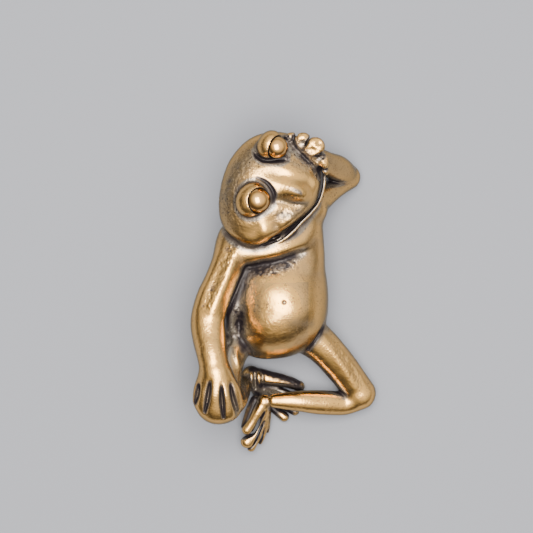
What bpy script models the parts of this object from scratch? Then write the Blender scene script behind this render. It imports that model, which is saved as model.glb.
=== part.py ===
"""A reclining frog figurine, cast in brass as separate sections that brass dowels line up.

The frog leans back on its rump and its left elbow, belly up. Its left hand is against its head, its
right hand is on its raised right knee, and its left leg is folded on the ground across its right foot.
+Y runs from the rump to the head, +X is the frog's left side and +Z is up. The origin is on the ground,
under the middle of the figurine. Every size below is in millimetres until cast() scales it to metres.
"""

import math

import bmesh
import bpy
from mathutils import Euler, Matrix, Vector

MM = 0.001

# Driving dimensions
SEAM = 0.25  # gap between two sections of the casting
VOXEL = 0.4  # grid that melts the shapes of one section together
SOFTEN = 8  # smoothing passes that round the creases between those shapes
GROUND = 0.0
DOWEL_SIDES = 12
SMOOTH_ANGLE = 40.0  # edges sharper than this, in degrees, stay sharp

# Colour and roughness of the brass
CAST_BRASS = ((0.62, 0.43, 0.19), 0.32)
POLISHED_BRASS = ((0.72, 0.50, 0.24), 0.18)
BRASS_WIRE = ((0.66, 0.46, 0.20), 0.40)

# The torso is melted from balls: (middle, radii, tilt round X)
TORSO_BALLS = [
    ((-0.4, -1.4, 7.9), (7.7, 8.4, 8.2), 0),  # belly
    ((-0.5, -4.6, 6.3), (8.0, 5.9, 6.6), 0),  # rump
    ((-4.3, -5.4, 6.6), (4.4, 5.2, 5.6), 0),  # right hip
    ((-3.6, 1.0, 7.3), (6.9, 8.0, 7.7), 0),  # right flank
    ((-0.6, 2.6, 8.7), (7.6, 8.2, 7.0), 0),  # ribs
    ((-0.7, 7.2, 9.7), (7.4, 6.4, 5.9), 12),  # chest
    ((-3.6, 8.8, 11.0), (5.6, 4.4, 4.2), 0),  # right shoulder
    ((1.8, 11.2, 9.9), (4.6, 5.0, 4.6), 0),  # left shoulder
]
NECK = [(-1.6, 8.0, 10.5, 4.4), (-2.0, 11.6, 12.4, 3.6)]

# The head is melted from flat balls: (middle, radii)
HEAD_BALLS = [
    ((-1.9, 19.0, 15.0), (7.45, 8.2, 4.7)),  # skull, widest on the frog's left
    ((-4.6, 14.9, 14.9), (6.3, 6.9, 4.5)),  # skull, on the frog's right
    ((-4.9, 18.2, 14.8), (5.2, 6.5, 4.8)),  # crown
    ((-1.4, 18.8, 13.8), (7.9, 8.2, 3.0)),  # lips and chin
    ((-4.4, 14.7, 13.8), (6.5, 7.0, 3.0)),  # lips and chin, on the frog's right
]

# A limb is a run of stations (x, y, z, radius) along its middle
HEAD_YAW = -29.0  # the way the face looks, in degrees round +Z from +X
UPPER_LIP = [
    (-7.4, 10.7, 16.0, 1.15),
    (-5.6, 9.6, 16.3, 1.3),
    (-3.6, 10.2, 16.9, 1.25),
    (-1.7, 11.3, 17.3, 1.05),
    (0.3, 12.6, 17.5, 1.05),
    (2.2, 14.3, 17.4, 0.95),
    (3.6, 16.2, 17.2, 0.85),
    (4.5, 18.0, 17.0, 0.75),
]
MOUTH = [
    (-3.3, 8.0, 15.6, 0.22),
    (-2.4, 8.6, 15.7, 0.5),
    (-1.2, 9.2, 15.7, 0.57),
    (0.1, 10.0, 15.7, 0.4),
    (1.7, 11.1, 15.7, 0.24),
    (3.85, 12.95, 15.7, 0.22),
    (5.45, 15.05, 15.7, 0.22),
    (6.4, 17.0, 15.6, 0.22),
    (6.65, 18.8, 15.5, 0.22),
]

RIGHT_ARM = [
    (-7.4, 9.4, 11.6, 3.3),
    (-8.8, 5.8, 12.9, 2.95),
    (-10.15, 2.4, 13.7, 2.65),
    (-11.5, -0.9, 14.3, 2.75),
    (-12.5, -4.2, 14.7, 3.05),
    (-12.6, -6.9, 15.5, 2.95),
    (-12.2, -9.9, 16.7, 2.55),
    (-11.6, -12.6, 17.7, 2.45),
]
RIGHT_FINGERS = [
    [(-11.9, -12.8, 17.8, 1.5), (-14.0, -15.6, 17.9, 1.1), (-14.6, -18.3, 16.6, 1.0)],
    [(-11.6, -12.8, 18.0, 1.6), (-12.6, -16.2, 18.6, 1.3), (-13.1, -19.5, 16.7, 1.15)],
    [(-11.2, -12.8, 18.0, 1.6), (-10.7, -16.4, 18.7, 1.3), (-11.0, -20.0, 16.7, 1.2)],
    [(-10.9, -12.8, 17.8, 1.5), (-9.0, -16.0, 18.1, 1.2), (-8.9, -19.4, 16.5, 1.1)],
]
LEFT_UPPER_ARM = [
    (2.6, 13.0, 10.4, 2.9),
    (4.9, 15.2, 8.6, 2.4),
    (8.2, 17.8, 5.2, 1.85),
    (10.9, 20.1, 2.1, 2.2),
]
LEFT_FOREARM = [
    (10.6, 20.2, 2.1, 2.25),
    (9.2, 21.3, 5.8, 2.3),
    (7.0, 22.1, 9.4, 2.0),
    (4.9, 22.7, 11.8, 2.1),
]
LEFT_PALM = (3.9, 22.9, 12.4)
PALM_RADIUS = 2.4
FINGER_ROOT_RADIUS = 1.5
KNUCKLE_SHIFT = Vector((0.5, 0.6, -0.6))  # from halfway along a finger, out and down to its knuckle
KNUCKLE_SWELL = 0.3
LEFT_FINGERTIPS = [
    (0.9, 26.1, 16.4, 0.8),
    (2.8, 25.5, 17.0, 0.95),
    (4.7, 24.2, 17.0, 1.3),
    (6.2, 22.2, 15.8, 0.85),
    (6.7, 20.4, 14.8, 0.7),
]
RIGHT_THIGH = [
    (-5.2, -5.4, 6.6, 3.6),
    (-8.2, -8.4, 8.9, 2.9),
    (-9.8, -12.6, 11.4, 2.65),
    (-10.2, -17.8, 14.3, 3.05),
]
RIGHT_SHIN = [
    (-10.2, -18.0, 14.2, 3.05),
    (-8.8, -17.5, 10.2, 2.55),
    (-7.7, -16.4, 6.4, 1.9),
    (-7.0, -15.5, 3.0, 1.4),
]
LEFT_THIGH = [
    (4.0, -6.8, 5.6, 3.4),
    (6.9, -9.3, 4.9, 3.0),
    (10.2, -13.1, 3.6, 2.8),
    (13.1, -17.0, 2.4, 2.6),
]
LEFT_SHIN = [
    (13.0, -17.3, 2.4, 2.6),
    (10.4, -18.7, 3.0, 2.1),
    (6.6, -18.6, 3.6, 2.1),
    (2.2, -18.25, 4.5, 1.75),
    (-1.8, -18.2, 5.1, 1.15),
]
RIGHT_HEEL = (-5.6, -14.2, 1.45, 1.7)
RIGHT_TOES = [
    [(-2.2, -13.9, 1.2, 1.0), (2.5, -15.6, 0.65, 0.85)],
    [(-2.1, -15.8, 1.0, 0.85), (2.6, -18.0, 0.6, 0.8)],
    [(-2.2, -17.7, 0.9, 0.75), (1.8, -20.3, 0.6, 0.8)],
    [(-2.9, -18.6, 0.9, 0.75), (0.1, -21.3, 0.6, 0.8)],
]
LEFT_HEEL = (-3.6, -18.6, 5.0, 1.25)
LEFT_TOES = [
    [(-5.1, -21.0, 4.9, 0.8), (-6.6, -23.3, 4.2, 0.9)],
    [(-4.9, -21.8, 4.1, 0.8), (-6.3, -26.2, 3.0, 1.0)],
    [(-4.1, -21.8, 3.2, 0.75), (-4.6, -25.6, 1.8, 0.85)],
    [(-3.2, -21.0, 2.6, 0.75), (-3.1, -23.6, 1.0, 0.8)],
]
EYES = {
    # the middle and the three radii of the lid, then the middle and the radius of the ball in it
    "right_eyeball": ((-5.5, 15.55, 20.2), (2.55, 3.0, 2.45), (-4.5, 15.4, 21.0), 2.05),
    "left_eyeball": ((-2.55, 24.6, 19.4), (2.0, 2.5, 2.4), (-1.4, 24.1, 20.2), 1.8),
}

# A dowel joins two sections: (one end, other end, radius)
DOWELS = {
    "neck_dowel": ((-1.8, 9.6, 10.4), (-2.3, 15.6, 16.8), 0.75),
    "right_shoulder_dowel": ((-3.6, 8.0, 10.6), (-9.0, 5.6, 13.2), 0.6),
    "left_shoulder_dowel": ((0.8, 11.6, 10.2), (5.3, 15.5, 8.3), 0.6),
    "right_hip_dowel": ((-4.2, -4.4, 6.4), (-8.9, -10.6, 10.2), 0.6),
    "left_hip_dowel": ((2.4, -5.6, 5.9), (7.9, -10.4, 4.5), 0.6),
    "right_ankle_dowel": ((-7.2, -15.8, 4.3), (-6.3, -15.5, 1.1), 0.4),
    "left_ankle_dowel": ((-1.5, -18.2, 5.1), (-4.3, -19.3, 4.9), 0.35),
}
DOWEL_FIT = 0.15  # how much wider the drilled hole is than its dowel, on the radius
RIGHT_WEB = 0.55  # radius of the web between the toes
LEFT_WEB = 0.5
WEB_STARTS = 3  # smooth_run stations from the heel to the start of the web
WEB_ENDS = 2  # and from the end of the web to the tip of the toe


def clear_scene():
    for obj in list(bpy.data.objects):
        bpy.data.objects.remove(obj, do_unlink=True)


def new_collection(name, shown):
    made = bpy.data.collections.new(name)
    made.hide_render = not shown
    bpy.context.scene.collection.children.link(made)
    return made


def brass(name, finish):
    colour, roughness = finish
    material = bpy.data.materials.new(name)
    material.use_nodes = True
    shader = material.node_tree.nodes["Principled BSDF"]
    shader.inputs["Base Color"].default_value = (*colour, 1.0)
    shader.inputs["Metallic"].default_value = 1.0
    shader.inputs["Roughness"].default_value = roughness
    return material


def smooth_run(stations, steps=6):
    """More stations on one smooth curve (Catmull-Rom) through the given ones."""
    ends = [stations[0], *stations, stations[-1]]
    run = []
    for before, start, end, after in zip(ends, ends[1:], ends[2:], ends[3:]):
        for step in range(steps):
            t = step / steps
            run.append(
                tuple(
                    0.5
                    * (
                        2 * b
                        + (c - a) * t
                        + (2 * a - 5 * b + 4 * c - d) * t**2
                        + (3 * b - a - 3 * c + d) * t**3
                    )
                    for a, b, c, d in zip(before, start, end, after)
                )
            )
    run.append(stations[-1])
    return run


def add_ball(form, centre, radii, turn=(0.0, 0.0, 0.0), sides=24):
    """An ellipsoid in the form; turn is in degrees round X, Y and Z."""
    spin = Euler([math.radians(a) for a in turn]).to_matrix().to_4x4()
    place = Matrix.Translation(centre) @ spin @ Matrix.Diagonal((*radii, 1.0))
    bmesh.ops.create_uvsphere(form, u_segments=sides, v_segments=sides // 2, radius=1.0, matrix=place)


def limb_mesh(stations, steps=6):
    """A tapered round bar: a bevelled curve whose points carry the radius, with welded caps."""
    run = smooth_run(stations, steps)
    curve = bpy.data.curves.new("limb", "CURVE")
    curve.dimensions = "3D"
    curve.bevel_depth = 1.0
    curve.bevel_resolution = 3
    curve.use_fill_caps = True
    spline = curve.splines.new("POLY")
    spline.points.add(len(run) - 1)
    for point, (x, y, z, radius) in zip(spline.points, run):
        point.co = (x, y, z, 1.0)
        point.radius = radius
    holder = bpy.data.objects.new("limb", curve)
    bpy.context.scene.collection.objects.link(holder)
    bpy.context.view_layer.update()
    mesh = bpy.data.meshes.new_from_object(holder.evaluated_get(bpy.context.evaluated_depsgraph_get()))
    bpy.data.objects.remove(holder, do_unlink=True)
    form = bmesh.new()
    form.from_mesh(mesh)
    bmesh.ops.remove_doubles(form, verts=form.verts, dist=1e-4)
    form.to_mesh(mesh)
    form.free()
    return mesh


def add_limb(form, stations):
    """A tapered round bar with ball ends, in the form."""
    mesh = limb_mesh(stations)
    form.from_mesh(mesh)
    bpy.data.meshes.remove(mesh)
    for x, y, z, radius in (stations[0], stations[-1]):
        add_ball(form, (x, y, z), (radius, radius, radius))


def melted(name, form, collection, triangles, grow=0.0):
    """The form's shapes as one smooth closed body of about this many triangles."""
    bmesh.ops.scale(form, vec=(MM, MM, MM), verts=form.verts)
    mesh = bpy.data.meshes.new(name)
    form.to_mesh(mesh)
    obj = bpy.data.objects.new(name, mesh)
    collection.objects.link(obj)
    remesh = obj.modifiers.new("melt", "REMESH")
    remesh.mode = "VOXEL"
    remesh.voxel_size = VOXEL * MM
    remesh.use_smooth_shade = True
    soften = obj.modifiers.new("soften", "SMOOTH")
    soften.factor = 0.5
    soften.iterations = SOFTEN
    if grow:
        swell = obj.modifiers.new("grow", "DISPLACE")
        swell.strength = grow * MM
        swell.mid_level = 0.0
    thin = obj.modifiers.new("thin", "DECIMATE")
    bpy.context.view_layer.update()
    faces = obj.evaluated_get(bpy.context.evaluated_depsgraph_get()).data.polygons
    thin.ratio = min(1.0, triangles / sum(len(face.vertices) - 2 for face in faces))
    return obj


def cast(name, build, triangles, cutter_triangles=0):
    """A section of the casting, and the slightly larger copy that cuts its seam into a neighbour."""
    form = bmesh.new()
    build(form)
    template = form.copy()
    section = melted(name, form, FROG, triangles)
    section.data.materials.append(brass(name, CAST_BRASS))
    form.free()
    if cutter_triangles:
        cutter = melted(name + "_cutter", template, CUTTERS, cutter_triangles, grow=SEAM)
        hide(cutter)
    template.free()
    return section


def hide(obj):
    obj.hide_render = True
    obj.display_type = "WIRE"


def cut(target, cutter):
    step = bpy.data.objects[target].modifiers.new("cut_" + cutter, "BOOLEAN")
    step.operation = "DIFFERENCE"
    step.solver = "EXACT"
    step.object = bpy.data.objects[cutter]


def rod(name, start, end, radius, collection):
    """A round bar between two points."""
    start, end = Vector(start) * MM, Vector(end) * MM
    axis = end - start
    form = bmesh.new()
    bmesh.ops.create_cone(
        form,
        cap_ends=True,
        segments=DOWEL_SIDES,
        radius1=radius * MM,
        radius2=radius * MM,
        depth=axis.length,
    )
    mesh = bpy.data.meshes.new(name)
    form.to_mesh(mesh)
    form.free()
    mesh.shade_smooth()
    mesh.set_sharp_from_angle(angle=math.radians(SMOOTH_ANGLE))
    obj = bpy.data.objects.new(name, mesh)
    collection.objects.link(obj)
    obj.location = (start + end) / 2
    obj.rotation_mode = "QUATERNION"
    obj.rotation_quaternion = axis.to_track_quat("Z", "Y")
    return obj


def ground_cutter():
    """Everything below the ground, which leaves the flat patches that the figurine rests on."""
    form = bmesh.new()
    bmesh.ops.create_cube(form, size=1.0)
    mesh = bpy.data.meshes.new("ground_cutter")
    form.to_mesh(mesh)
    form.free()
    obj = bpy.data.objects.new("ground_cutter", mesh)
    obj.scale = (80 * MM, 80 * MM, 10 * MM)
    obj.location = (0.0, 0.0, (GROUND - 5.0) * MM)
    CUTTERS.objects.link(obj)
    hide(obj)


def torso_form(form):
    for middle, radii, tilt in TORSO_BALLS:
        add_ball(form, middle, radii, (tilt, 0, 0))
    add_limb(form, NECK)


def mouth_cutter():
    """A bar bent round the front of the head, which leaves the mouth as a slot in its side."""
    mesh = limb_mesh(MOUTH)
    for vertex in mesh.vertices:
        vertex.co *= MM
    obj = bpy.data.objects.new("mouth_cutter", mesh)
    CUTTERS.objects.link(obj)
    hide(obj)


def head_form(form):
    turn = (0, 0, HEAD_YAW)
    for middle, radii in HEAD_BALLS:
        add_ball(form, middle, radii, turn)
    add_limb(form, UPPER_LIP)
    for lid, lid_radii, _, _ in EYES.values():
        add_ball(form, lid, lid_radii, turn)


def right_arm_form(form):
    add_limb(form, RIGHT_ARM)
    for finger in RIGHT_FINGERS:
        add_limb(form, finger)


def left_arm_form(form):
    add_limb(form, LEFT_UPPER_ARM)
    add_limb(form, LEFT_FOREARM)
    add_ball(form, LEFT_PALM, (PALM_RADIUS,) * 3)
    for x, y, z, radius in LEFT_FINGERTIPS:
        knuckle = (Vector(LEFT_PALM) + Vector((x, y, z))) / 2 + KNUCKLE_SHIFT
        finger = [
            (*LEFT_PALM, FINGER_ROOT_RADIUS),
            (*knuckle, radius + KNUCKLE_SWELL),
            (x, y, z, radius),
        ]
        add_limb(form, finger)


def right_leg_form(form):
    add_limb(form, RIGHT_THIGH)
    add_limb(form, RIGHT_SHIN)


def left_leg_form(form):
    add_limb(form, LEFT_THIGH)
    add_limb(form, LEFT_SHIN)


def foot_form(form, heel, toes, web_radius):
    """Toes that fan out from the heel, with a web between each two neighbours."""
    middles = []
    for toe in toes:
        add_limb(form, [heel, *toe])
        middles.append(smooth_run([heel, *toe]))
    for left, right in zip(middles, middles[1:]):
        for one, other in list(zip(left, right))[WEB_STARTS:-WEB_ENDS]:
            for t in (0.25, 0.5, 0.75):
                spot = Vector(one[:3]).lerp(Vector(other[:3]), t)
                add_ball(form, spot, (web_radius,) * 3, sides=10)


def right_foot_form(form):
    foot_form(form, RIGHT_HEEL, RIGHT_TOES, RIGHT_WEB)


def left_foot_form(form):
    foot_form(form, LEFT_HEEL, LEFT_TOES, LEFT_WEB)


def ball(name, centre, radius, collection):
    form = bmesh.new()
    bmesh.ops.create_uvsphere(form, u_segments=18, v_segments=10, radius=radius * MM)
    mesh = bpy.data.meshes.new(name)
    form.to_mesh(mesh)
    form.free()
    mesh.shade_smooth()
    obj = bpy.data.objects.new(name, mesh)
    obj.location = Vector(centre) * MM
    collection.objects.link(obj)
    return obj


def eyeball(name, centre, radius):
    """A ball in its lid, and the larger ball that hollows the lid round it."""
    ball(name, centre, radius, FROG).data.materials.append(brass(name, POLISHED_BRASS))
    hide(ball(name + "_cutter", centre, radius + SEAM, CUTTERS))


clear_scene()
FROG = new_collection("reclining_frog", True)
CUTTERS = new_collection("cutters", False)

ground_cutter()
cast("torso", torso_form, 1200, 800)
cast("head", head_form, 1200, 900)
cast("right_arm", right_arm_form, 1100)
cast("left_arm", left_arm_form, 1100)
cast("right_leg", right_leg_form, 800, 800)
cast("left_leg", left_leg_form, 800, 600)
cast("right_foot", right_foot_form, 700)
cast("left_foot", left_foot_form, 700)

mouth_cutter()
cut("head", "mouth_cutter")

for eye, (_, _, ball_centre, ball_radius) in EYES.items():
    eyeball(eye, ball_centre, ball_radius)
    cut("head", eye + "_cutter")

for dowel, (dowel_start, dowel_end, dowel_radius) in DOWELS.items():
    pin = rod(dowel, dowel_start, dowel_end, dowel_radius, FROG)
    pin.data.materials.append(brass(dowel, BRASS_WIRE))
    reach = (Vector(dowel_end) - Vector(dowel_start)).normalized() * DOWEL_FIT
    hole = rod(
        dowel + "_hole",
        Vector(dowel_start) - reach,
        Vector(dowel_end) + reach,
        dowel_radius + DOWEL_FIT,
        CUTTERS,
    )
    hide(hole)

# Each seam: the section on the left gives way to the one on the right
for section, neighbour in (
    ("head", "torso"),
    ("right_arm", "torso"),
    ("right_arm", "right_leg"),
    ("right_arm", "head"),
    ("left_arm", "torso"),
    ("left_arm", "head"),
    ("right_leg", "torso"),
    ("left_leg", "torso"),
    ("right_foot", "right_leg"),
    ("right_foot", "left_leg"),
    ("left_foot", "left_leg"),
):
    cut(section, neighbour + "_cutter")

for section, dowel in (
    ("torso", "neck_dowel"),
    ("head", "neck_dowel"),
    ("torso", "right_shoulder_dowel"),
    ("right_arm", "right_shoulder_dowel"),
    ("torso", "left_shoulder_dowel"),
    ("left_arm", "left_shoulder_dowel"),
    ("torso", "right_hip_dowel"),
    ("right_leg", "right_hip_dowel"),
    ("torso", "left_hip_dowel"),
    ("left_leg", "left_hip_dowel"),
    ("right_leg", "right_ankle_dowel"),
    ("right_foot", "right_ankle_dowel"),
    ("left_leg", "left_ankle_dowel"),
    ("left_foot", "left_ankle_dowel"),
):
    cut(section, dowel + "_hole")

for section in ("torso", "left_arm", "left_leg", "right_foot"):
    cut(section, "ground_cutter")
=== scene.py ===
"""The looks of a small reclining frog, cast in brass and antiqued.

Every section of the casting is sculpted as a field of signed distances on one shared lattice: balls and
tapered limbs melt together, grooves and ridges are pressed in, and the surface is then meshed. The whole
frog is one skin, which is parted between the sections at their seams, so that they meet like one casting.
Sizes in the sculpt are millimetres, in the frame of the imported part: +Y from the feet to the head, +X the
frog's left side, +Z up. The ground is at z = 0.
"""

import itertools
import math

import bpy
import numpy as np
from mathutils import Euler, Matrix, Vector


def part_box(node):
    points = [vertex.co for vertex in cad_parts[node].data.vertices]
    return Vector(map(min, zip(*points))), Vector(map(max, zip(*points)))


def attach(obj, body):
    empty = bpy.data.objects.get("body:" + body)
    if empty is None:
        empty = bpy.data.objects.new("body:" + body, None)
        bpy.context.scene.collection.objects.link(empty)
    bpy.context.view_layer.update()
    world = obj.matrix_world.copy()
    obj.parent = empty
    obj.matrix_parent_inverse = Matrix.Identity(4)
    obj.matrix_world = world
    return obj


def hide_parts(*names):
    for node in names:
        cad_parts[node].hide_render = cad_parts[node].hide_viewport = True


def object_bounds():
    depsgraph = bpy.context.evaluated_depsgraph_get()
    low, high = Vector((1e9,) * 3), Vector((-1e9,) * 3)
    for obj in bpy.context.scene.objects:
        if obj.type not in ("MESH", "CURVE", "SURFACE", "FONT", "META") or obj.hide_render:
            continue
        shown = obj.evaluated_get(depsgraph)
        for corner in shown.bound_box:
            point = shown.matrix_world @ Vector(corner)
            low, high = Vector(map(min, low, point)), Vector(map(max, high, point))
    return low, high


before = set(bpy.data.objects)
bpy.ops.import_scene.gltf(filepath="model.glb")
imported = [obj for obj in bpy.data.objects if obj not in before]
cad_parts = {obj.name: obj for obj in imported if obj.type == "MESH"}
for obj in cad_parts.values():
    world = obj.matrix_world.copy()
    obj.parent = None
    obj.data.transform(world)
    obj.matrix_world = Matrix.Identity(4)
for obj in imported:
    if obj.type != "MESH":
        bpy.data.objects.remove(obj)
cad_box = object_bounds()

MM = 0.001
CELL = 0.12  # step of the lattice
BAND = 2.6  # distances are kept up to this far from a surface
MARGIN = 1.5  # how far a section's window reaches outside its CAD node
OVERLAP = 0.3  # how deep two sections run into each other, under the skin
SINK = 0.35  # how steeply they do
SOFT_REACH = 2.2  # the widths that a groove or a dent fades over
SEED = 7


# ---- sculpting tools


def smooth_run(stations, steps=6):
    """More stations on one smooth curve (Catmull-Rom) through the given ones."""
    points = np.array([stations[0], *stations, stations[-1]], float)
    run = []
    for a, b, c, d in zip(points, points[1:], points[2:], points[3:]):
        for t in np.arange(steps) / steps:
            bend = (2 * a - 5 * b + 4 * c - d) * t**2 + (3 * b - a - 3 * c + d) * t**3
            run.append(0.5 * (2 * b + (c - a) * t + bend))
    run.append(points[-1])
    return np.array(run)


def smooth_min(a, b, blend):
    """The smaller of two distances, with a fillet about as wide as blend where they cross."""
    if not blend:
        return np.minimum(a, b)
    overlap = np.maximum(blend - np.abs(a - b), 0.0) / blend
    return np.minimum(a, b) - overlap**2 * blend / 4


def turned(turn):
    """The matrix of turns in degrees round X, Y and Z."""
    return np.array(Euler([math.radians(a) for a in turn]).to_matrix())


def corner_blend(values, base, share):
    """The values at a lattice cell's eight corners, blended. The lattice repeats past its end."""
    total = 0.0
    for corner in itertools.product((0, 1), repeat=3):
        weight = np.prod(np.where(corner, share, 1 - share), axis=1)
        total = total + weight * values[tuple(((base + corner) % values.shape).T)]
    return total


def straight_line(values, place):
    """A lattice's values between its points."""
    base = np.clip(np.floor(place).astype(int), 0, np.array(values.shape) - 2)
    return corner_blend(values, base, np.clip(place - base, 0.0, 1.0))


def within(bit, part):
    """A window's slices, counted from the start of a larger window."""
    return tuple(slice(b.start - p.start, b.stop - p.start) for b, p in zip(bit, part))


class Field:
    """Signed distances, negative inside, on a window of the lattice that all sections share."""

    def __init__(self, low, high):
        self.start = np.floor(np.array(low) / CELL).astype(int)
        self.shape = np.ceil(np.array(high) / CELL).astype(int) + 1 - self.start
        self.values = np.full(self.shape, BAND, np.float32)

    def window(self, low, high):
        """The slices between two corners, and the lattice's x, y and z there."""
        first = np.clip(np.floor(np.array(low) / CELL).astype(int) - self.start, 0, self.shape)
        last = np.clip(np.ceil(np.array(high) / CELL).astype(int) + 1 - self.start, first, self.shape)
        axes = [
            ((np.arange(a, b) + s) * CELL).astype(np.float32)
            for a, b, s in zip(first, last, self.start)
        ]
        return tuple(map(slice, first, last)), np.meshgrid(*axes, indexing="ij", sparse=True)

    def shared(self, other):
        """The slices of this field and of another that cover the same lattice points."""
        first = np.maximum(self.start, other.start)
        last = np.maximum(np.minimum(self.start + self.shape, other.start + other.shape), first)
        mine = tuple(map(slice, first - self.start, last - self.start))
        theirs = tuple(map(slice, first - other.start, last - other.start))
        return mine, theirs

    def add(self, shape, blend=0.0):
        """Joins a shape on, with a fillet about as wide as blend."""
        part, values = shape(self)
        self.values[part] = smooth_min(self.values[part], values, blend)

    def carve(self, shape, blend=0.0):
        """Cuts a shape out."""
        part, values = shape(self)
        self.values[part] = -smooth_min(-self.values[part], values, blend)

    def along(self, run, reach, lift, profile, start):
        """Values at the lattice points near a run, as slices and an array.

        profile takes the value so far, the distance, and the run's fourth number at the nearest point."""
        pad = reach * np.array([1.0, 1.0, 1.0 / lift])
        part, _ = self.window(run[:, :3].min(0) - pad, run[:, :3].max(0) + pad)
        values = np.full(self.values[part].shape, start, np.float32)
        for one, two in zip(run, run[1:]):
            ends = np.array([one[:3], two[:3]])
            bit, grid = self.window(ends.min(0) - pad, ends.max(0) + pad)
            inner = within(bit, part)
            scale = np.array([1.0, 1.0, lift])
            step = (two - one)[:3] * scale
            away = [(g - a) * s for g, a, s in zip(grid, one, scale)]
            share = sum(a * s for a, s in zip(away, step)) / max(step @ step, 1e-9)
            share = np.clip(share, 0.0, 1.0)
            distance = np.sqrt(sum((a - share * s) ** 2 for a, s in zip(away, step)))
            size = one[3] + share * (two[3] - one[3])
            values[inner] = profile(values[inner], distance, size)
        return part, values

    def press(self, stations, width, depth, lift=0.35):
        """Presses a groove (a ridge, if depth is negative) along (x, y, z, strength) stations.

        Heights count only lift times, so a groove stays on a surface that runs a little above or below it."""

        def profile(before, distance, strength):
            return np.maximum(before, strength * np.exp(-((distance / width) ** 2)))

        part, pressed = self.along(smooth_run(stations, 4), SOFT_REACH * width, lift, profile, 0.0)
        self.values[part] += depth * pressed

    def dab(self, centre, radii, depth, turn=(0, 0, 0)):
        """Presses a soft dent (a swelling, if depth is negative)."""
        centre, radii, spin = np.array(centre), np.array(radii), turned(turn)
        reach = SOFT_REACH * np.sqrt(spin**2 @ radii**2)
        part, grid = self.window(centre - reach, centre + reach)
        square = 0.0
        for axis, radius in zip(spin.T, radii):
            square = square + (sum(a * (g - c) for a, g, c in zip(axis, grid, centre)) / radius) ** 2
        self.values[part] += depth * np.exp(-square)

    def sample(self, points):
        """The field's values at any points, straight-line between lattice points."""
        return straight_line(self.values, points / CELL - self.start)

    def slope(self, points, step=CELL / 2):
        """The direction in which the field grows, at any points."""
        rise = [self.sample(points + e) - self.sample(points - e) for e in np.eye(3) * step]
        rise = np.stack(rise, axis=1)
        return rise / np.maximum(np.linalg.norm(rise, axis=1, keepdims=True), 1e-6)


def ball(centre, radii, turn=(0, 0, 0)):
    """An ellipsoid."""
    centre, radii, spin = np.array(centre), np.array(radii), turned(turn)
    reach = np.sqrt(spin**2 @ radii**2) + BAND

    def shape(field):
        part, grid = field.window(centre - reach, centre + reach)
        near = far = 0.0
        for axis, radius in zip(spin.T, radii):
            share = sum(a * (g - c) for a, g, c in zip(axis, grid, centre)) / radius
            near = near + share**2
            far = far + (share / radius) ** 2
        near = np.sqrt(near)
        return part, np.minimum(near * (near - 1) / (np.sqrt(far) + 1e-6), BAND)

    return shape


def limb(stations, steps=10):
    """A tapered round bar through (x, y, z, radius) stations."""
    run = smooth_run(stations, steps)

    def profile(before, distance, radius):
        return np.minimum(before, distance - radius)

    def shape(field):
        return field.along(run, run[:, 3].max() + BAND, 1.0, profile, BAND)

    return shape


def web(one, two, thickness):
    """The skin between two toes, as three thin bars between them that stop short of their tips."""
    first, second = smooth_run(one, 4), smooth_run(two, 4)
    count = min(len(first), len(second)) - 3
    bars = [first[:count] * (1 - t) + second[:count] * t for t in (0.3, 0.5, 0.7)]
    for bar in bars:
        bar[:, 3] = thickness

    def shape(field):
        low = np.min([bar[:, :3].min(0) for bar in bars], axis=0) - thickness - BAND
        high = np.max([bar[:, :3].max(0) for bar in bars], axis=0) + thickness + BAND
        part, _ = field.window(low, high)
        values = np.full(field.values[part].shape, BAND, np.float32)
        for bar in bars:
            bit, distances = limb(bar, 1)(field)
            inner = within(bit, part)
            values[inner] = smooth_min(values[inner], distances, 0.4)
        return part, values

    return shape


# ---- the sections of the casting

FACE_YAW = -29.0  # the way the face looks, in degrees round +Z from +X

# each eye's lid, as the middle and radii of an ellipsoid, and its ball, as a middle and a radius
LIDS = {
    "right_eyeball": ((-5.5, 15.55, 20.2), (2.5, 2.95, 2.4)),
    "left_eyeball": ((-2.55, 24.6, 19.4), (1.95, 2.45, 2.35)),
}
EYEBALLS = {
    "right_eyeball": ((-4.5, 15.4, 21.0), 2.08),
    "left_eyeball": ((-1.4, 24.1, 20.2), 1.85),
}
EYE_GAP = 0.04  # the dark ring round each eyeball

# Limbs: stations (x, y, z, radius). Grooves and cracks: stations (x, y, z, strength).
RIGHT_ARM = [
    (-7.8, 9.4, 11.6, 3.2), (-9.1, 5.8, 12.9, 2.95), (-10.5, 2.4, 13.5, 2.8),
    (-11.9, -0.9, 14.1, 2.95), (-12.6, -4.2, 14.1, 3.05), (-12.5, -6.9, 15.0, 2.85),
    (-12.0, -9.9, 16.6, 2.5), (-11.4, -12.6, 17.2, 2.5),
]
RIGHT_FINGERS = [
    [(-12.4, -12.8, 16.9, 1.4), (-13.8, -15.4, 16.6, 1.05), (-14.2, -17.3, 15.9, 0.9)],
    [(-12.0, -12.8, 17.6, 1.4), (-13.0, -15.6, 17.8, 1.0), (-13.5, -18.2, 16.6, 0.9)],
    [(-11.4, -12.8, 17.8, 1.5), (-11.4, -16.2, 18.4, 1.05), (-11.7, -19.3, 16.8, 1.0)],
    [(-11.0, -12.8, 17.8, 1.5), (-9.7, -16.2, 18.2, 1.05), (-9.2, -19.3, 16.6, 1.0)],
    [(-10.6, -12.8, 17.4, 1.4), (-8.4, -15.6, 17.2, 1.0), (-7.8, -18.0, 16.0, 0.9)],
]
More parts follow.
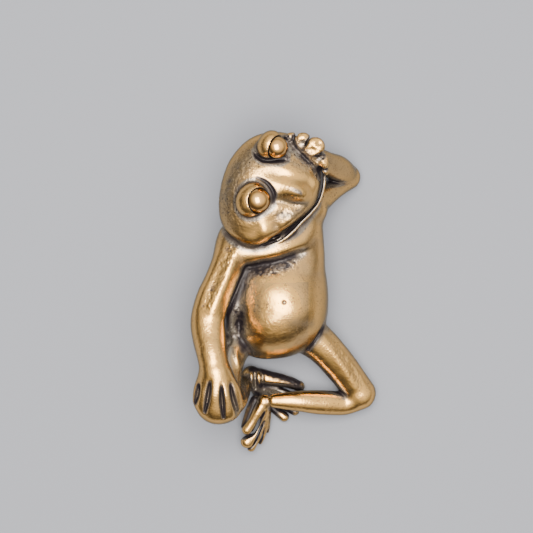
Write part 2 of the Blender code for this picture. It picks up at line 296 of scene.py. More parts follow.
HAND_GROOVES = [
    [(-14.0, -14.4, 17.6, 0.1), (-14.3, -16.1, 17.6, 1.0), (-14.7, -17.7, 16.8, 0.3)],
    [(-12.2, -13.8, 19.0, 0.1), (-12.5, -16.0, 18.9, 1.0), (-13.1, -19.1, 17.6, 0.3)],
    [(-10.4, -14.4, 19.2, 0.1), (-10.3, -17.1, 18.9, 1.0), (-10.1, -20.0, 17.4, 0.3)],
    [(-9.0, -14.2, 18.7, 0.1), (-8.6, -16.8, 18.3, 1.0), (-7.8, -19.6, 17.0, 0.3)],
]
LEFT_UPPER_ARM = [
    (2.6, 13.0, 10.4, 2.9), (4.9, 15.2, 8.6, 2.4), (8.2, 17.8, 5.2, 1.85),
    (10.9, 20.1, 2.1, 2.2),
]
LEFT_FOREARM = [
    (10.6, 20.2, 2.1, 2.25), (9.2, 21.3, 5.8, 2.3), (7.0, 22.1, 9.4, 2.0),
    (4.9, 22.7, 11.8, 2.1),
]
LEFT_PALM = (3.9, 22.9, 12.4)
LEFT_FINGERTIPS = [  # middles and radii
    ((0.9, 26.0, 17.2), (1.1, 0.7, 0.5)),
    ((2.8, 25.5, 17.8), (1.4, 1.15, 0.65)),
    ((4.8, 24.3, 18.0), (1.75, 1.6, 0.8)),
    ((6.2, 22.2, 17.2), (0.9, 1.5, 0.7)),
    ((6.6, 20.5, 16.3), (0.6, 0.8, 0.5)),
]
FINGER_CRACKS = [
    [(1.9, 26.8, 17, 1), (2.0, 25.6, 17.4, 1), (2.4, 24.6, 17.4, 0.2)],
    [(4.2, 26.0, 17, 1), (3.7, 25.2, 17.6, 1), (3.3, 24.2, 17.6, 0.3)],
    [(6.8, 23.6, 17, 1), (5.6, 23.1, 17.6, 1), (4.6, 22.9, 17.6, 0.3)],
    [(7.2, 21.3, 16, 1), (6.3, 21.2, 16.6, 1), (5.5, 21.0, 16.6, 0.3)],
]
RIGHT_THIGH = [
    (-5.2, -5.4, 6.6, 3.6), (-8.2, -8.4, 8.9, 2.9), (-9.8, -12.6, 11.4, 2.65),
    (-10.2, -17.8, 14.3, 3.05),
]
RIGHT_SHIN = [
    (-10.2, -18.0, 14.2, 3.05), (-8.8, -17.5, 10.2, 2.55), (-7.7, -16.4, 6.4, 1.9),
    (-7.0, -15.5, 3.0, 1.4),
]
LEFT_THIGH = [
    (4.0, -6.8, 5.6, 3.4), (6.9, -9.3, 4.9, 3.0), (10.2, -13.1, 3.6, 2.8),
    (13.1, -17.0, 2.4, 2.6),
]
LEFT_SHIN = [
    (13.0, -17.3, 2.4, 2.6), (10.4, -18.7, 2.4, 2.1), (6.6, -18.6, 3.6, 2.1),
    (2.2, -18.25, 4.9, 1.75), (-1.8, -18.2, 5.3, 1.15),
]
RIGHT_HEEL = (-5.6, -14.3, 1.7, 1.8)
RIGHT_TOES = [
    [(-2.6, -14.6, 2.0, 1.35), (0.4, -15.2, 1.6, 1.15), (2.6, -16.0, 1.1, 0.95)],
    [(-2.1, -16.2, 1.0, 0.85), (2.4, -18.2, 0.7, 0.8)],
    [(-2.2, -17.9, 0.9, 0.75), (1.8, -20.3, 0.7, 0.8)],
    [(-2.9, -18.8, 0.9, 0.75), (0.0, -21.3, 0.8, 0.85)],
]
LEFT_HEEL = (-3.5, -18.4, 4.9, 1.2)
LEFT_TOES = [
    [(-4.5, -20.1, 5.0, 0.95), (-5.4, -21.7, 4.8, 0.75), (-6.4, -23.2, 4.5, 0.85)],
    [(-3.75, -21.4, 4.3, 0.45), (-4.75, -23.7, 4.0, 0.45), (-6.35, -25.3, 3.6, 1.15)],
    [(-3.5, -22.3, 3.6, 0.4), (-4.55, -24.8, 3.2, 0.42), (-5.7, -26.4, 2.7, 0.75)],
    [(-3.05, -22.6, 2.9, 0.35), (-3.7, -24.6, 2.4, 0.38), (-4.2, -25.6, 1.9, 0.42)],
    [(-2.6, -20.9, 2.6, 0.35), (-2.7, -22.4, 2.0, 0.32), (-2.95, -23.7, 1.3, 0.38)],
]
LEFT_TOE_GROOVES = [
    [(-3.3, -19.7, 5, 0.4), (-4.1, -21.2, 4.8, 1), (-4.7, -22.7, 4.4, 1), (-5.3, -23.8, 4.2, 1),
     (-6.2, -24.4, 4, 1), (-7.3, -24.6, 3.8, 1)],
    [(-3.5, -21.8, 4.2, 0.5), (-4.2, -23.2, 3.9, 1), (-4.8, -24.5, 3.6, 1), (-5.4, -25.6, 3.2, 1),
     (-6.4, -26.4, 3, 0.6)],
    [(-2.8, -21.0, 3.4, 0.6), (-3.45, -22.8, 3.0, 1), (-3.95, -24.5, 2.6, 1), (-4.4, -25.8, 2.2, 0.6)],
    [(-2.7, -21.6, 2.6, 0.4), (-3.0, -22.8, 2.2, 1), (-3.2, -23.9, 1.8, 0.8)],
]


def eyeball(name, gap=0.0):
    centre, radius = EYEBALLS[name]
    return ball(centre, (radius + gap,) * 3)


def torso(field):
    # the belly and the rump
    field.add(ball((-0.3, -1.6, 7.7), (7.6, 8.3, 8.3)))
    field.add(ball((-0.9, -4.5, 6.3), (7.6, 5.7, 6.6), (0, 0, -4)), 1.5)
    field.add(ball((-4.3, -5.4, 6.6), (4.4, 5.2, 5.6)), 1.5)
    field.add(ball((-1.8, -1.7, 6.9), (8.2, 8.2, 8.3)), 2.0)
    field.add(ball((-2.6, -5.0, 7.4), (4.6, 4.8, 6.6)), 2.5)
    field.add(ball((-3.6, 1.2, 7.0), (6.9, 7.8, 6.8)), 1.5)
    field.add(ball((-0.6, 2.6, 8.2), (7.6, 8.2, 5.9)), 1.5)
    # the chest, the right shoulder, the left shoulder and the neck
    field.add(ball((-0.7, 7.2, 9.3), (7.4, 6.4, 4.8), (12, 0, 0)), 1.5)
    field.add(ball((-3.6, 8.8, 11.0), (5.6, 4.4, 4.0)), 1.5)
    field.add(ball((1.8, 11.2, 9.9), (4.6, 5.0, 4.4)), 1.5)
    field.add(limb([(-1.6, 8.0, 10.5, 4.2), (-2.0, 11.6, 12.4, 3.6)]), 1.5)
    # the shoulders' band across the chest
    band = [
        (-6.8, 6.9, 13.5, 1.8), (-3.8, 6.9, 13.8, 1.8), (-0.8, 7.7, 13.8, 1.9),
        (2.2, 9.2, 12.8, 1.9), (3.8, 11.4, 11.1, 1.8),
    ]
    field.add(limb(band), 0.9)


def head(field):
    turn = (0, 0, FACE_YAW)
    # the skull is widest on the frog's left, and the jaw juts out a little under the snout
    field.add(ball((-1.9, 19.0, 15.2), (7.8, 8.1, 4.4), (-4, 0, FACE_YAW)))
    field.add(ball((-4.6, 14.9, 14.9), (6.2, 6.8, 4.4), turn), 1.5)
    field.add(ball((-4.9, 18.2, 14.8), (5.1, 6.4, 4.7), turn), 1.5)
    field.add(ball((-1.4, 18.8, 13.8), (7.8, 8.1, 2.9), turn), 0.4)
    field.add(ball((-4.4, 14.7, 13.8), (6.4, 6.9, 2.9), turn), 0.4)
    # the snout's ridge rises to a blunt tip
    snout = [
        (-2.2, 18.8, 20, 0.2), (-0.4, 18.0, 20, 0.5), (1.5, 17.1, 20, 1),
        (3.0, 16.4, 19.6, 1), (4.2, 15.8, 19, 0.5),
    ]
    field.press(snout, width=1.6, depth=-1.0)
    field.dab((2.4, 17.0, 19.8), (2.6, 1.9, 2.5), -0.4, turn)
    field.dab((-1.4, 19.6, 19.5), (2.6, 1.4, 2.5), 0.3, (0, 0, -22))
    # the swollen upper lip
    lip = [
        (-7.4, 10.7, 16.0, 1.1), (-5.6, 9.6, 16.3, 1.25), (-3.6, 10.2, 16.9, 1.2),
        (-1.7, 11.3, 17.3, 1.0), (0.3, 12.6, 17.5, 1.0), (2.2, 14.3, 17.4, 0.9),
        (3.6, 16.2, 17.2, 0.8), (4.5, 18.0, 17.0, 0.7),
    ]
    field.add(limb(lip), 1.2)
    # the valley behind the lip, and the brow along the snout's left edge
    valley = [
        (-2.4, 14.6, 20, 0.5), (-1.3, 15.4, 20, 1), (0.45, 15.15, 20, 1),
        (2.56, 14.8, 19, 0.8), (4.2, 15.2, 18, 0.3),
    ]
    field.press(valley, width=0.75, depth=0.5)
    brow = [
        (-4.4, 20.5, 19, 0.5), (-2.6, 20.8, 19.5, 1), (-0.5, 20.6, 19.5, 1),
        (1.5, 20.0, 19.2, 1), (3.6, 19.4, 18.5, 1), (6.0, 18.5, 17, 0.5),
    ]
    field.press(brow, width=0.7, depth=-0.12)
    # the hollow left cheek, then the lobes of the lip and the dip between them
    field.dab((2.6, 23.0, 17.5), (3.2, 1.9, 2.5), 0.3, (0, 0, -15))
    field.dab((-3.5, 11.0, 18.2), (1.0, 1.7, 1.5), -0.35, (0, 0, 15))
    field.dab((-1.5, 11.3, 18.2), (0.7, 0.9, 1.5), 0.25, (0, 0, -20))
    field.dab((0.8, 12.5, 18.4), (0.9, 1.2, 1.5), -0.25, (0, 0, -40))
    for centre, radii in LIDS.values():
        field.add(ball(centre, radii, turn), 0.3)
    for name in EYEBALLS:
        field.carve(eyeball(name, EYE_GAP), 0.1)
    right_eye_crease = [
        (-4.6, 19.1, 20, 0.3), (-3.1, 18.4, 20, 1), (-2.0, 16.9, 20, 1),
        (-1.85, 15.4, 20, 0.8), (-2.5, 14.3, 20, 0.1),
    ]
    left_eye_crease = [
        (-5.2, 23.8, 18.5, 0.3), (-4.6, 22.8, 18.8, 1), (-3.7, 22.15, 19, 1),
        (-2.5, 22.0, 19, 1), (-0.5, 22.2, 19, 0.7), (0.8, 21.8, 18.6, 0.1),
    ]
    for crease in (right_eye_crease, left_eye_crease):
        field.press(crease, width=0.26, depth=0.4)


def mouth(field):
    """The step between the lips, the rim of the lower lip outside it, and the open corner of the mouth."""
    rim = [
        (-3.9, 8.0, 15.0, 0.3), (-2.55, 8.3, 15.3, 0.34), (-0.7, 8.95, 15.5, 0.36),
        (1.2, 10.45, 15.4, 0.34), (2.8, 12.15, 15.3, 0.32), (4.3, 13.65, 15.2, 0.3),
        (5.45, 15.1, 15.2, 0.3), (6.2, 17.0, 15.15, 0.3), (6.5, 18.9, 15.1, 0.28),
        (6.4, 20.6, 14.9, 0.25),
    ]
    face_x, face_y = -2.0, 18.0
    step, line = [], []
    for (x, y, z, _), share in zip(rim, (0.2, 0.8, 1, 1, 0.8, 0.6, 0.5, 0.5, 0.5, 0.2)):
        inward = Vector((face_x - x, face_y - y)).normalized()
        step.append((x, y, z + 0.65, 0.28 * share))
        line.append((x + 0.28 * inward.x, y + 0.28 * inward.y, z + 0.3, share))
    field.carve(limb(step), 0.1)
    field.add(limb(rim), 0.1)
    field.press(line, width=0.12, depth=0.35, lift=0.3)
    open_corner = ball((-1.8, 9.4, 16.0), (1.2, 0.45, 1.7), (0, 0, 22))
    field.carve(open_corner, 0.08)


def right_arm(field):
    field.add(limb(RIGHT_ARM))
    # the shoulder, then the hand and its rounded end
    field.add(ball((-8.3, 7.4, 11.4), (3.0, 4.2, 3.0)), 1.5)
    field.add(ball((-11.2, -16.2, 16.2), (3.6, 4.6, 2.5)), 1.2)
    field.add(ball((-11.0, -18.2, 15.2), (3.7, 3.2, 3.1)), 0.8)
    for finger in RIGHT_FINGERS:
        field.add(limb(finger), 1.0)
    for groove in HAND_GROOVES:
        field.press(groove, width=0.3, depth=0.85)
    # a broad ridge along the inner side of the upper arm, with a shallow trough beside it
    ridge = [
        (-7.5, 7.8, 15.8, 0.7), (-8.75, 5.4, 16, 1), (-9.75, 2.4, 16.2, 1),
        (-10.75, 0, 16.5, 1), (-11.9, -2.6, 17, 0.5),
    ]
    field.press(ridge, width=0.95, depth=-0.45)
    trough = [(-9.3, 7.4, 15.4, 0.4), (-11.1, 3.3, 16, 1), (-12.8, -0.9, 16.4, 1), (-13.3, -3.0, 17, 0.2)]
    field.press(trough, width=0.8, depth=0.22)


def left_arm(field):
    field.add(limb(LEFT_UPPER_ARM))
    field.add(limb(LEFT_FOREARM), 0.3)
    field.add(ball(LEFT_PALM, (2.4, 2.4, 2.4)), 0.8)
    palm = np.array(LEFT_PALM)
    for tip, radii in LEFT_FINGERTIPS:
        knuckle = (palm + tip) / 2 + (0.5, 0.6, -0.6)
        radius = min(radii)
        field.add(limb([(*palm, 1.5), (*knuckle, radius + 0.3), (*tip, radius)]), 0.15)
        field.add(ball(tip, radii, (0, 0, 20)), 0.2)
    knuckles = [(1.9, 24.9, 16.9, 0.8), (3.9, 23.6, 17.2, 1.1), (5.3, 21.8, 16.7, 0.8)]
    field.add(limb(knuckles), 0.4)
    for centre, radii, depth in (  # dents between them
        ((2.9, 24.9, 18.4), (0.7, 0.5, 0.8), 0.35),
        ((4.4, 23.7, 18.7), (0.8, 0.6, 0.8), 0.4),
        ((5.5, 24.8, 18.4), (0.5, 0.4, 0.8), 0.3),
        ((6.1, 22.7, 17.8), (0.4, 0.5, 0.6), 0.3),
    ):
        field.dab(centre, radii, depth)
    for crack in FINGER_CRACKS:
        field.press(crack, width=0.2, depth=0.8, lift=0.4)


def right_leg(field):
    field.add(limb(RIGHT_THIGH))
    field.add(limb(RIGHT_SHIN), 0.8)


def left_leg(field):
    field.add(limb(LEFT_THIGH))
    field.add(limb(LEFT_SHIN), 0.5)
    # a ridge down the thigh, with a trough beside it
    ridge = [(6.6, -7.3, 9, 0.5), (8.4, -10.0, 8, 1), (10.6, -13.2, 7, 1), (12.0, -15.6, 6, 0.6)]
    field.press(ridge, width=0.9, depth=-0.25)
    trough = [(8.2, -7.6, 9, 0.4), (9.8, -10.2, 8, 1), (11.8, -13.0, 7, 1), (13.2, -15.4, 6, 0.4)]
    field.press(trough, width=0.6, depth=0.25)


def foot(field, heel, toes, thickness):
    """Toes that spread from one heel, with skin of this thickness between them."""
    for toe in toes:
        field.add(limb([heel, *toe]), 0.15)
    for one, two in zip(toes, toes[1:]):
        field.add(web([heel, *one], [heel, *two], thickness), 0.2)


def right_foot(field):
    foot(field, RIGHT_HEEL, RIGHT_TOES, 0.5)
    # folds of skin across the ankle
    for x, depth in ((-5.6, -0.35), (-5.0, 0.5), (-4.35, -0.35), (-3.7, 0.4)):
        fold = [(x - 0.1, -13.3, 3.2, 0.4), (x, -14.8, 3.4, 1), (x + 0.1, -16.3, 3, 0.4)]
        field.press(fold, width=0.28, depth=depth)
    beside_big_toe = [(-3.4, -15.7, 3, 0.6), (-1.0, -16.0, 2.8, 1), (2.8, -16.7, 2, 0.8)]
    field.press(beside_big_toe, width=0.35, depth=0.6)


def left_foot(field):
    foot(field, LEFT_HEEL, LEFT_TOES, 0.28)
    dark_flank = [(-5.0, -18.3, 3.3, 0.9), (-5.9, -20.6, 3.2, 0.9), (-6.7, -22.7, 3.3, 0.7)]
    field.add(limb(dark_flank), 0.3)
    for groove in LEFT_TOE_GROOVES:
        field.press(groove, width=0.24, depth=0.45, lift=0.5)


# each has its CAD node's name
SECTIONS = (torso, head, right_arm, left_arm, right_leg, left_leg, right_foot, left_foot)
FILLET = 0.5  # where two sections meet

# Strokes over the casting: stations (x, y, z, strength) and a width
ROUGH = [  # rough, pitted metal
    # under the chest's fold, beside the arm, and lightly over the lower belly
    ([(-5.4, 3.6, 14, 0.8), (-2.4, 4.2, 14.5, 1), (1.2, 5.2, 14.5, 0.7)], 1.1),
    ([(-7.6, -3.0, 13, 1), (-7.6, -6.0, 12, 1)], 1.1),
    ([(-6.0, 2.2, 13.8, 0.6), (-5.4, -0.4, 14, 0.5)], 1.2),
    ([(-4.2, -1.0, 15, 0.2), (-3.2, -5.6, 14, 0.16), (0.5, -7.2, 13, 0.12)], 2.4),
    # the back of the head, the dip between the right eye and the lip, and the left cheek
    ([(-8.8, 12.6, 17, 0.5), (-9.0, 17.0, 18, 0.6), (-6.4, 21.4, 18.5, 0.6)], 2.4),
    ([(-1.4, 13.6, 18.4, 0.5), (0.4, 13.1, 18.4, 0.7), (2.2, 13.8, 18, 0.5)], 1.2),
    ([(-0.6, 22.6, 18, 0.5), (1.6, 21.6, 18, 0.6), (3.8, 20.6, 18, 0.5)], 1.1),
    ([(0.6, 23.0, 17.5, 0.7), (3.6, 23.4, 17, 1), (5.4, 21.4, 16.5, 0.8)], 1.1),
    # the left fingertips and forearm, and the right arm
    ([(0.4, 26.0, 17.5, 0.9), (3.0, 25.6, 18, 0.7), (5.2, 24.2, 18, 0.6), (6.6, 21.6, 17, 0.9)], 1.0),
    ([(7.6, 21.8, 10, 0.3), (10.6, 20.4, 4, 0.3)], 2.0),
    ([(-8.6, 8.2, 16, 0.8), (-9.6, 5.4, 16, 0.9), (-11.0, 2.4, 16, 0.9), (-12.8, -2.0, 17, 0.6)], 1.1),
    ([(-13.0, -4.6, 17, 0.25), (-12.4, -10.0, 19, 0.25)], 1.8),
    # the right foot and the left thigh
    ([(-4.5, -12.8, 3, 0.7), (2.5, -15.4, 2, 0.7)], 1.0),
    ([(8.2, -8.4, 8, 0.5), (10.4, -11.6, 7, 0.8), (13.2, -15.4, 6, 0.6)], 1.0),
]
DULL_AND_SHADED = [  # darker, duller patches: a film of patina, and painted shade on the right arm's inner side, the left thigh's inner side and along the belly's lower edge
    # the back of the head and the left cheek
    ([(-9.2, 12.0, 16, 0.8), (-9.8, 16.0, 17, 1), (-8.4, 19.6, 17.5, 1), (-5.8, 22.4, 17.5, 1)], 2.7),
    ([(0.8, 23.8, 18, 1), (2.2, 23.0, 17.5, 1), (4.2, 21.8, 17, 1), (5.4, 20.6, 16.5, 0.9)], 1.0),
    ([(-0.6, 22.4, 18, 0.8), (1.6, 21.4, 18, 0.9), (3.6, 20.6, 17.6, 0.8)], 0.9),
    # the valley behind the lip, and the dip between it and the right eye
    ([(-2.0, 15.6, 19, 0.8), (0.4, 15.3, 19, 0.9), (3.6, 15.0, 18, 0.9)], 0.85),
    ([(-2.2, 13.6, 18.5, 0.7), (-0.6, 13.4, 18.5, 0.8), (1.0, 13.9, 18.3, 0.5)], 0.8),
    ([(-1.6, 13.6, 18.5, 0.8), (0.4, 13.0, 18.5, 1), (2.4, 13.8, 18, 0.8)], 1.0),
    # painted shade on the right arm's inner side, and the left forearm and upper arm
    ([(-7.9, 6.0, 14.6, 0.7), (-8.5, 3.2, 14.8, 0.9), (-9.3, 0.2, 15, 0.9), (-9.9, -3.4, 14.6, 1),
      (-9.9, -8.4, 15, 0.9)], 0.65),
    ([(6.6, 22.6, 11, 0.9), (11.0, 20.8, 4, 0.9)], 2.3),
    ([(4.6, 15.0, 10, 0.6), (10.2, 19.0, 4, 0.6)], 1.8),
    # the chest's fold, the belly's left and right, and painted shade along the belly's lower edge
    ([(-5.2, 3.4, 14, 0.9), (-2.4, 3.9, 14.5, 0.9), (0.6, 4.9, 14.5, 0.8)], 0.9),
    ([(1.0, -4.4, 15, 0.6), (4.2, -4.8, 13, 0.8)], 1.0),
    ([(-6.2, -8.4, 9, 1), (-1.0, -9.6, 8, 1), (4.2, -8.6, 8, 1)], 1.0),
    ([(-5.0, -1.5, 14, 0.5), (-5.4, -5.6, 12, 0.9), (-4.8, -8.2, 10, 1)], 1.6),
    # the right knee's inner side, and both sides of the left thigh, with painted shade on the thigh's inner
    # side
    ([(-6.8, -13.6, 12, 0.8), (-6.6, -17.0, 11, 0.9), (-7.4, -20.0, 12, 0.8)], 1.1),
    ([(10.6, -9.2, 5, 0.7), (15.2, -15.4, 3, 0.7)], 0.9),
    ([(3.4, -9.6, 4, 0.9), (8.0, -14.6, 3, 0.9)], 0.7),
]
BLACK_PATINA_AND_SHADE = [  # thick patina, and painted shade in the groove by the right arm, along the belly's lower edge, by the right thigh and knee, on the left thigh and along the feet's edges
    # the creases by the right eye and the left eye, and the open corner of the mouth
    ([(-4.5, 19.1, 19.3, 0.4), (-3.1, 18.4, 19.3, 0.9), (-2.0, 16.9, 19.3, 0.9),
      (-1.9, 15.3, 19.3, 0.6)], 0.5),
    ([(-4.6, 22.8, 18.6, 0.7), (-3.7, 22.15, 18.7, 0.9), (-2.5, 22.0, 18.7, 0.9),
      (-0.5, 22.2, 18.7, 0.7)], 0.5),
    ([(-2.3, 9.4, 15.6, 0.7), (-0.8, 10.3, 15.8, 0.7)], 0.3),
    # the chest's fold, and the groove between the right arm and the belly, where the black is partly painted
    # shade
    ([(-5.4, 3.4, 14, 0.4), (-2.4, 4.2, 14.5, 0.4), (0.8, 5.2, 14.5, 0.3)], 1.0),
    ([(-6.4, 4.2, 14, 0.6), (-4.8, 4.9, 14.5, 0.6), (-1.8, 5.3, 14.5, 0.6), (1.4, 6.4, 14, 0.5)], 0.6),
    ([(-6.5, 4.6, 13.5, 0.7), (-7.15, 1.7, 13.3, 0.7), (-8.3, -1.1, 13.3, 0.7),
      (-9.1, -2.3, 13.3, 0.6)], 0.75),
    ([(-7.6, -4.0, 13, 0.45), (-7.6, -5.4, 12, 0.45)], 1.0),
    ([(-7.6, -7.6, 12, 0.5), (-7.0, -9.4, 12, 0.6)], 0.7),
    # painted shade in the crease by the right thigh, along the belly's lower edge, by the right knee and on
    # the left thigh
    ([(-6.0, -5.6, 11.5, 0.3), (-5.2, -7.0, 11, 0.4), (-4.4, -8.8, 8, 0.5)], 0.9),
    ([(-5.4, -9.2, 7, 0.35), (-1.0, -10.3, 6.4, 0.4), (3.6, -9.4, 6.4, 0.4)], 1.0),
    ([(-6.6, -13.4, 9, 0.5), (-6.3, -16.0, 10, 0.6), (-7.0, -19.0, 11, 0.5)], 0.8),
    ([(3.0, -9.0, 6.4, 0.5), (5.0, -11.0, 5.8, 0.6), (8.3, -14.8, 4.6, 0.6)], 0.8),
    # painted shade along the right foot's edges and toes, and on the left foot's flank
    ([(-5.6, -13.0, 3, 0.8), (-4.5, -12.7, 3, 1), (-2.0, -13.7, 3, 1), (0.4, -14.5, 2.6, 1),
      (2.4, -15.2, 2, 1)], 0.7),
    ([(-3.9, -15.7, 3, 0.9), (-2.0, -16.2, 3, 1), (2.6, -16.8, 2, 0.9)], 0.55),
    ([(-1.6, -19.6, 1, 1), (1.2, -20.0, 1, 0.9)], 1.0),
    ([(-5.2, -18.0, 3, 1), (-6.2, -20.6, 3, 1), (-7.2, -22.8, 3, 0.8)], 0.7),
]
BLACK_PATINA_AND_SHADE += [(groove, 0.22) for groove in HAND_GROOVES]
ROUGH_DEPTH = 0.13  # how far the rough metal's grain stands out

# how far in front of the skin other metal makes a seam, a crease, a hollow and shelter
SEAM_REACH = 0.3
CREASE_REACH = 0.38
HOLLOW_REACH = 1.4
SHELTER_REACH = 1.5


def sculpt_joins(whole):
    """The forms that run across two sections."""
    mouth(whole)
    chest_fold = [
        (-6.4, 4.4, 14, 0.5), (-5.0, 5.0, 14.5, 1), (-1.6, 5.6, 14.8, 1),
        (1.7, 6.7, 14.3, 0.9), (3.2, 7.3, 13.6, 0.2),
    ]
    whole.press(chest_fold, width=0.8, depth=0.6)
    beside_arm = [
        (-6.2, 4.4, 13.5, 0.6), (-7.3, 1.2, 13.5, 1), (-8.4, -1.6, 13.5, 1),
        (-9.5, -4.2, 13.5, 1), (-9.6, -7.6, 12, 0.6),
    ]
    whole.press(beside_arm, width=0.6, depth=0.7)
    left_groin = [(7.4, -4.1, 8, 0.6), (6.0, -6.1, 9, 1), (4.0, -9.0, 8, 0.6)]
    whole.press(left_groin, width=0.4, depth=0.5)
    # the navel
    whole.dab((-0.1, -1.2, 16.1), (0.3, 0.3, 0.8), 0.3)
    # the shoulders run into the chest, and the arm lies against the belly
    whole.add(ball((-6.4, 7.3, 13.6), (2.3, 2.0, 2.1)), 1.5)
    whole.add(ball((4.6, 14.0, 9.8), (2.4, 2.2, 2.4)), 1.2)
    filled = [
        (-6.3, 3.6, 11.8, 1.5), (-7.3, 0.4, 11.9, 1.5), (-8.3, -2.6, 11.7, 1.5),
        (-8.6, -5.6, 10.6, 1.4),
    ]
    whole.add(limb(filled), 0.8)
    # a pit between them, and a fold of skin below it
    whole.dab((-7.6, -4.7, 12.2), (1.1, 1.8, 2.0), 0.7)
    skin_fold = [(-8.3, -9.2, 12, 0.6), (-8.0, -10.4, 12.6, 1), (-7.6, -12.0, 13, 0.6)]
    whole.press(skin_fold, width=0.4, depth=-0.4)


# ---- meshing


def surface(field):
    """The zero surface, as a vertex in each cell and a quad round each lattice edge that it crosses."""
    values = field.values
    for axis in range(3):
        for end in (0, -1):
            rim = [slice(None)] * 3
            rim[axis] = end
            values[tuple(rim)] = BAND
    inside = values < 0
    near, far = slice(None, -1), slice(1, None)
    count = sum(inside[tuple(c)].astype(np.uint8) for c in itertools.product((near, far), repeat=3))
    crossed = (count > 0) & (count < 8)
    index = np.full(crossed.shape, -1)
    index[crossed] = np.arange(crossed.sum())
    cells = np.argwhere(crossed)
    total, hits = np.zeros((len(cells), 3)), np.zeros(len(cells))
    quads = []
    for axis in range(3):
        unit = np.eye(3, dtype=int)
        for offset in itertools.product((0, 1), repeat=2):
            low = np.insert(offset, axis, 0)
            one = values[tuple((cells + low).T)]
            two = values[tuple((cells + low + unit[axis]).T)]
            hit = (one < 0) != (two < 0)
            share = one[hit] / (one[hit] - two[hit])
            total[hit] += low + share[:, None] * unit[axis]
            hits += hit
        low, high = [slice(None)] * 3, [slice(None)] * 3
        low[axis], high[axis] = near, far
        starts_inside = inside[tuple(low)]
        change = starts_inside != inside[tuple(high)]
        edge = np.argwhere(change)
        side, up = unit[(axis + 1) % 3], unit[(axis + 2) % 3]
        ring = (edge - side - up, edge - up, edge, edge - side)
        quad = np.stack([index[tuple(corner.T)] for corner in ring], axis=1)
        backward = ~starts_inside[change]
        quad[backward] = quad[backward][:, ::-1]
        quads.append(quad)
    return (cells + total / hits[:, None] + field.start) * CELL, np.concatenate(quads)


def largest_body(points, quads):
    """The points and quads of the largest connected body."""
    label = np.arange(len(points))
    edges = np.concatenate([quads[:, [a, (a + 1) % 4]] for a in range(4)])
    while True:
        lowest = np.minimum(label[edges[:, 0]], label[edges[:, 1]])
        hooked = label.copy()
        for end in (0, 1):
            np.minimum.at(hooked, label[edges[:, end]], lowest)
            np.minimum.at(hooked, edges[:, end], lowest)
        hooked = hooked[hooked]
        if (hooked == label).all():
            break
        label = hooked
    kept = label == np.bincount(label).argmax()
    renumber = np.cumsum(kept) - 1
    return points[kept], renumber[quads[kept[quads[:, 0]]]]


def normals_of(points, quads):
    """Each point's normal, from the quads about it by their areas."""
    cross = np.cross(points[quads[:, 2]] - points[quads[:, 0]], points[quads[:, 3]] - points[quads[:, 1]])
    total = np.zeros_like(points)
    for corner in range(4):
        np.add.at(total, quads[:, corner], cross)
    return total / np.maximum(np.linalg.norm(total, axis=1, keepdims=True), 1e-9)


def settled(points, quads, field):
    """The points moved onto the surface, and evened out along it."""
    for _ in range(3):
        total, count = np.zeros_like(points), np.zeros(len(points))
        for corner in range(4):
            np.add.at(total, quads[:, corner], points[quads[:, (corner + 1) % 4]])
            np.add.at(total, quads[:, corner], points[quads[:, (corner + 3) % 4]])
            np.add.at(count, quads[:, corner], 2)
        points = points + 0.5 * (total / count[:, None] - points)
        step = field.sample(points)[:, None] * field.slope(points)
        points = points - np.clip(step, -0.4 * CELL, 0.4 * CELL)
    return points


def lumps(points, size, seed):
    """Smooth noise from -1 to 1, with lumps about this size."""
    table = np.random.default_rng(SEED + seed).uniform(-1, 1, (32, 32, 32))
    place = points / size
    base = np.floor(place).astype(int)
    share = place - base
    return corner_blend(table, base, share * share * (3 - 2 * share))


def painted(points, strokes, lift=0.6):
    """How strongly the strokes cover each point, from 0 to 1. Heights count only lift times."""
    scale = (1, 1, lift)
    cover = np.zeros(len(points))
    for stations, width in strokes:
        run = smooth_run(stations, 4)
        for one, two in zip(run, run[1:]):
            away, step = (points - one[:3]) * scale, (two - one)[:3] * scale
            share = np.clip(away @ step / max(step @ step, 1e-9), 0, 1)
            square = ((away - share[:, None] * step) ** 2).sum(1)
            strength = one[3] + share * (two[3] - one[3])
            cover = np.maximum(cover, strength * np.exp(-square / width**2))
    return cover


def closeness(whole, points, normals, reach):
    """0 on an open surface, up to 1 where another surface is near in front of it."""
    return np.clip(1 - whole.sample(points + normals * reach) / reach, 0, 1)


def shelter_field(whole, stride=3, sigma=2.2):
    """A function of points: how much metal or ground is about them, where 0 is open air."""
    coarse = (whole.values[::stride, ::stride, ::stride] < 0).astype(np.float32)
    heights = (np.arange(coarse.shape[2]) * stride + whole.start[2]) * CELL
    coarse[:, :, heights < 0] = 1.0
    reach = int(2.5 * sigma / (CELL * stride))
    kernel = np.exp(-0.5 * (np.arange(-reach, reach + 1) * CELL * stride / sigma) ** 2)
    kernel /= kernel.sum()
    for axis in range(3):
        padded = np.pad(coarse, [(reach, reach) if a == axis else (0, 0) for a in range(3)], mode="edge")
        length = coarse.shape[axis]
        coarse = sum(
            weight * np.take(padded, np.arange(k, k + length), axis=axis) for k, weight in enumerate(kernel)
        )
    return lambda points: straight_line(coarse, (points / CELL - whole.start) / stride)


def new_object(name, data):
    """An object in the scene."""
    obj = bpy.data.objects.new(name, data)
    bpy.context.scene.collection.objects.link(obj)
    return obj


def make_mesh(name, points, quads, measures):
    """A smooth mesh object, with each measure as an attribute of its points."""
    mesh = bpy.data.meshes.new(name)
    mesh.vertices.add(len(points))
    mesh.vertices.foreach_set("co", (points * MM).astype(np.float32).ravel())
    mesh.loops.add(quads.size)
    mesh.loops.foreach_set("vertex_index", quads.astype(np.int32).ravel())
    mesh.polygons.add(len(quads))
    mesh.polygons.foreach_set("loop_start", np.arange(0, quads.size, 4, dtype=np.int32))
    mesh.update(calc_edges=True)
    mesh.validate()
    mesh.shade_smooth()
    for label, values in measures.items():
        layer = mesh.attributes.new(label, "FLOAT", "POINT")
        layer.data.foreach_set("value", values.astype(np.float32))
    return new_object(name, mesh)


